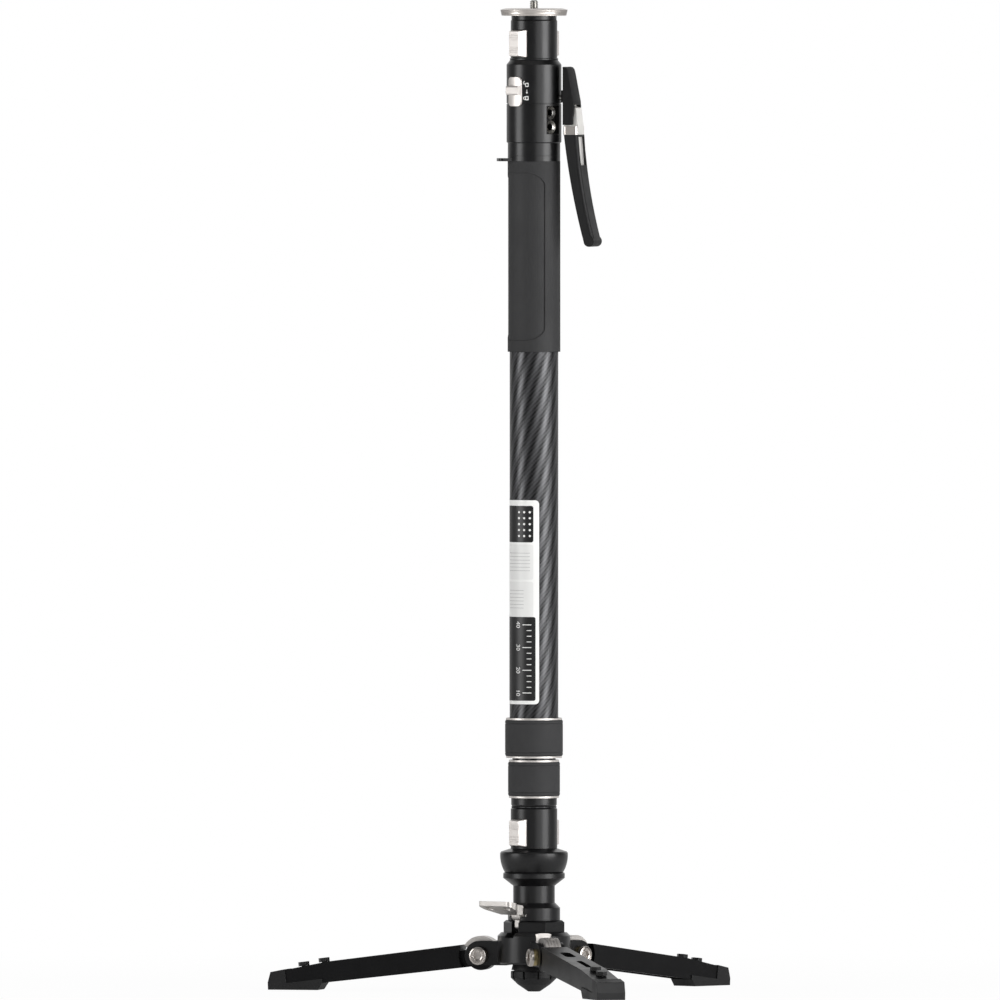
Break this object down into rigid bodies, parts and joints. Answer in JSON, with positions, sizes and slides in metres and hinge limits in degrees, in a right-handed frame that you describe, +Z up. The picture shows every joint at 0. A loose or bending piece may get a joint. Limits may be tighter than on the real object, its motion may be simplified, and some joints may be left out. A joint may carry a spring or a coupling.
{
  "type": "camera monopod",
  "caption": "Telescopic camera monopod with twist-lock sections, a squeeze lever grip, a tilting ball joint and a folding three-leg foot base.",
  "frame": {"origin": "on the mast's axis, at the ground under the centre foot", "axes": "+Z up along the mast, -Y towards the side with the pedal, slider and front release buttons, +X towards the accessory port"},
  "size_m": [0.358, 0.31, 0.7336],
  "materials": {
    "grey_anodised": "satin",
    "silver_aluminium": "satin",
    "silver_steel": "satin",
    "black_steel": "satin",
    "brass": "satin",
    "carbon": "satin",
    "grip_rubber": "matte",
    "black_rubber": "matte",
    "black_nylon": "matte"
  },
  "bodies": {
    "base": {"hub_body": "grey_anodised", "pivot_bolts": "silver_steel", "pivot_washers": "brass", "centre_foot": "black_rubber", "foot_stud": "silver_steel", "hub_collar": "grey_anodised", "column_body": "grey_anodised", "pedal_pin": "silver_steel", "spring_stack": "silver_steel", "tilt_cup": "grey_anodised"},
    "pedal": {"foot_pedal": "silver_aluminium"},
    "wedge": {"brake_wedge": "silver_steel"},
    "brake": {"brake_rod": "silver_steel", "brake_head": "black_nylon"},
    "tilt_ring": {"friction_dish": "black_nylon"},
    "ball": {"half_ball": "grey_anodised"},
    "mast_base": {"lower_receiver": "grey_anodised", "lower_fitting": "grey_anodised", "lower_tube": "carbon", "lower_bush": "black_nylon"},
    "lower_front_button": {"lower_button_front": "silver_aluminium"},
    "lower_rear_button": {"lower_button_rear": "silver_aluminium"},
    "section_2": {"middle_tube": "carbon", "middle_bush": "black_nylon", "middle_ferrule": "grey_anodised", "lower_wedge": "black_nylon"},
    "lower_collar": {"lower_collar_sleeve": "silver_aluminium", "lower_collar_grip": "black_rubber"},
    "section_1": {"upper_tube": "carbon", "upper_ferrule": "grey_anodised", "upper_wedge": "black_nylon", "grip_sleeve": "grip_rubber", "strap_ring": "grey_anodised", "handle_body": "grey_anodised", "handle_cap": "grey_anodised", "upper_receiver": "grey_anodised", "lever_housing": "grey_anodised", "lever_pin": "silver_steel", "head_plate": "silver_aluminium", "camera_stud": "silver_steel"},
    "upper_collar": {"upper_collar_sleeve": "silver_aluminium", "upper_collar_grip": "black_rubber"},
    "lever": {"lever_arm": "silver_aluminium", "lever_grip": "black_rubber"},
    "lock_pin": {"lock_pin": "silver_steel"},
    "slider": {"lock_slider": "silver_aluminium"},
    "upper_front_button": {"upper_button_front": "silver_aluminium"},
    "upper_rear_button": {"upper_button_rear": "silver_aluminium"},
    "leg_rear": {"leg_arm_rear": "grey_anodised", "leg_crown_rear": "silver_aluminium", "leg_boot_rear": "black_rubber", "leg_studs_rear": "black_steel"},
    "leg_front_right": {"leg_arm_front_right": "grey_anodised", "leg_crown_front_right": "silver_aluminium", "leg_boot_front_right": "black_rubber", "leg_studs_front_right": "black_steel"},
    "leg_front_left": {"leg_arm_front_left": "grey_anodised", "leg_crown_front_left": "silver_aluminium", "leg_boot_front_left": "black_rubber", "leg_studs_front_left": "black_steel"}
  },
  "joints": [
    {"name": "leg_rear_fold", "type": "hinge", "parent": "base", "child": "leg_rear", "pos_m": [0, 0.0393, 0.0264], "axis": [1, 0, 0], "range_deg": [0, 97]},
    {"name": "leg_front_right_fold", "type": "hinge", "parent": "base", "child": "leg_front_right", "pos_m": [0.03404, -0.01965, 0.0264], "axis": [-0.5, -0.866, 0], "range_deg": [0, 97]},
    {"name": "leg_front_left_fold", "type": "hinge", "parent": "base", "child": "leg_front_left", "pos_m": [-0.03404, -0.01965, 0.0264], "axis": [-0.5, 0.866, 0], "range_deg": [0, 97]},
    {"name": "pedal_press", "type": "hinge", "parent": "base", "child": "pedal", "pos_m": [0, -0.0162, 0.0565], "axis": [1, 0, 0], "range_deg": [0, 18]},
    {"name": "wedge_push", "type": "slide", "parent": "base", "child": "wedge", "axis": [0, 1, 0], "range_m": [0, 0.0026]},
    {"name": "brake_lift", "type": "slide", "parent": "base", "child": "brake", "axis": [0, 0, 1], "range_m": [0, 0.00105]},
    {"name": "tilt_a", "type": "hinge", "parent": "base", "child": "tilt_ring", "pos_m": [0, 0, 0.101], "axis": [0.7071, -0.7071, 0], "range_deg": [-14, 14]},
    {"name": "tilt_b", "type": "hinge", "parent": "tilt_ring", "child": "ball", "pos_m": [0, 0, 0.101], "axis": [0.7071, 0.7071, 0], "range_deg": [-14, 14]},
    {"name": "pan", "type": "hinge", "parent": "ball", "child": "mast_base", "pos_m": [0, 0, 0.109], "axis": [0, 0, 1], "continuous": true},
    {"name": "section_2_slide", "type": "slide", "parent": "mast_base", "child": "section_2", "axis": [0, 0, 1], "range_m": [0, 0.38]},
    {"name": "section_1_slide", "type": "slide", "parent": "section_2", "child": "section_1", "axis": [0, 0, 1], "range_m": [0, 0.38]},
    {"name": "lower_collar_twist", "type": "hinge", "parent": "section_2", "child": "lower_collar", "pos_m": [0, 0, 0.1574], "axis": [0, 0, 1], "range_deg": [0, 90]},
    {"name": "upper_collar_twist", "type": "hinge", "parent": "section_1", "child": "upper_collar", "pos_m": [0, 0, 0.1878], "axis": [0, 0, 1], "range_deg": [0, 90]},
    {"name": "lower_front_press", "type": "slide", "parent": "mast_base", "child": "lower_front_button", "axis": [0, 1, 0], "range_m": [0, 0.0015], "stiffness_N_per_m": 600, "springref_m": -0.001},
    {"name": "lower_rear_press", "type": "slide", "parent": "mast_base", "child": "lower_rear_button", "axis": [0, -1, 0], "range_m": [0, 0.0015], "stiffness_N_per_m": 600, "springref_m": -0.001},
    {"name": "upper_front_press", "type": "slide", "parent": "section_1", "child": "upper_front_button", "axis": [0, 1, 0], "range_m": [0, 0.0015], "stiffness_N_per_m": 600, "springref_m": -0.001},
    {"name": "upper_rear_press", "type": "slide", "parent": "section_1", "child": "upper_rear_button", "axis": [0, -1, 0], "range_m": [0, 0.0015], "stiffness_N_per_m": 600, "springref_m": -0.001},
    {"name": "lever_squeeze", "type": "hinge", "parent": "section_1", "child": "lever", "pos_m": [0.02674, 0.01247, 0.6541], "axis": [-0.4226, 0.9063, 0], "range_deg": [0, 9], "stiffness_Nm_per_rad": 0.8, "springref_deg": -4.58},
    {"name": "lock_pin_slide", "type": "slide", "parent": "section_1", "child": "lock_pin", "axis": [0.9063, 0.4226, 0], "range_m": [0, 0.001]},
    {"name": "slider_shift", "type": "slide", "parent": "section_1", "child": "slider", "axis": [0, 0, 1], "range_m": [0, 0.005]}
  ],
  "couplings": [
    {"joint": "wedge_push", "follows": "pedal_press", "m_per_rad": 0.008},
    {"joint": "brake_lift", "follows": "pedal_press", "m_per_rad": 0.003183},
    {"joint": "lock_pin_slide", "follows": "lever_squeeze", "m_per_rad": 0.006}
  ]
}
